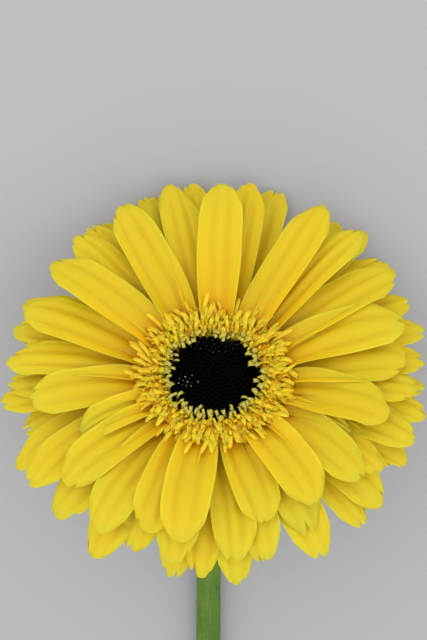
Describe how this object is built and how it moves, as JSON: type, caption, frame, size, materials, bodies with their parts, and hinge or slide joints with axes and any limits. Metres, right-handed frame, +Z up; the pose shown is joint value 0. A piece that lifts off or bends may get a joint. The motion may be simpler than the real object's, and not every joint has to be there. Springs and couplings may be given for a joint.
{
  "type": "gerbera flower",
  "caption": "Cut gerbera lying on a surface: a leafless stem that bends up at the neck into a broad yellow daisy head with a dark middle.",
  "frame": {"origin": "middle of the footprint, on the surface the flower lies on", "axes": "+Y along the stem from its cut end to the head, +Z up from the surface"},
  "size_m": [0.1056, 0.288, 0.0625],
  "materials": {
    "ray_petal": "satin",
    "ring_floret": "matte",
    "disc_bud": "satin",
    "bract": "matte",
    "stem": "matte"
  },
  "bodies": {
    "root": {"stem": "stem", "receptacle_cup": "bract", "disc_florets": "disc_bud", "trans_florets": "ring_floret", "ray_floret_01": "ray_petal", "ray_floret_02": "ray_petal", "ray_floret_03": "ray_petal", "ray_floret_04": "ray_petal", "ray_floret_05": "ray_petal", "ray_floret_06": "ray_petal", "ray_floret_07": "ray_petal", "ray_floret_08": "ray_petal", "ray_floret_09": "ray_petal", "ray_floret_10": "ray_petal", "ray_floret_11": "ray_petal", "ray_floret_12": "ray_petal", "ray_floret_13": "ray_petal", "ray_floret_14": "ray_petal", "ray_floret_15": "ray_petal", "ray_floret_16": "ray_petal", "ray_floret_17": "ray_petal", "ray_floret_18": "ray_petal", "ray_floret_19": "ray_petal", "ray_floret_20": "ray_petal", "ray_floret_21": "ray_petal", "ray_floret_22": "ray_petal", "ray_floret_23": "ray_petal", "ray_floret_24": "ray_petal", "ray_floret_25": "ray_petal", "ray_floret_26": "ray_petal", "ray_floret_27": "ray_petal", "ray_floret_28": "ray_petal", "ray_floret_29": "ray_petal", "ray_floret_30": "ray_petal", "ray_floret_31": "ray_petal", "ray_floret_32": "ray_petal", "ray_floret_33": "ray_petal", "ray_floret_34": "ray_petal", "ray_floret_35": "ray_petal", "ray_floret_36": "ray_petal", "ray_floret_37": "ray_petal", "ray_floret_38": "ray_petal", "ray_floret_39": "ray_petal", "ray_floret_40": "ray_petal", "ray_floret_41": "ray_petal", "ray_floret_42": "ray_petal", "ray_floret_43": "ray_petal", "ray_floret_44": "ray_petal", "ray_floret_45": "ray_petal", "ray_floret_46": "ray_petal", "ray_floret_47": "ray_petal", "ray_floret_48": "ray_petal", "ray_floret_49": "ray_petal", "ray_floret_50": "ray_petal", "ray_floret_51": "ray_petal", "ray_floret_52": "ray_petal", "ray_floret_53": "ray_petal", "ray_floret_54": "ray_petal", "ray_floret_55": "ray_petal", "ray_floret_56": "ray_petal"}
  },
  "joints": []
}
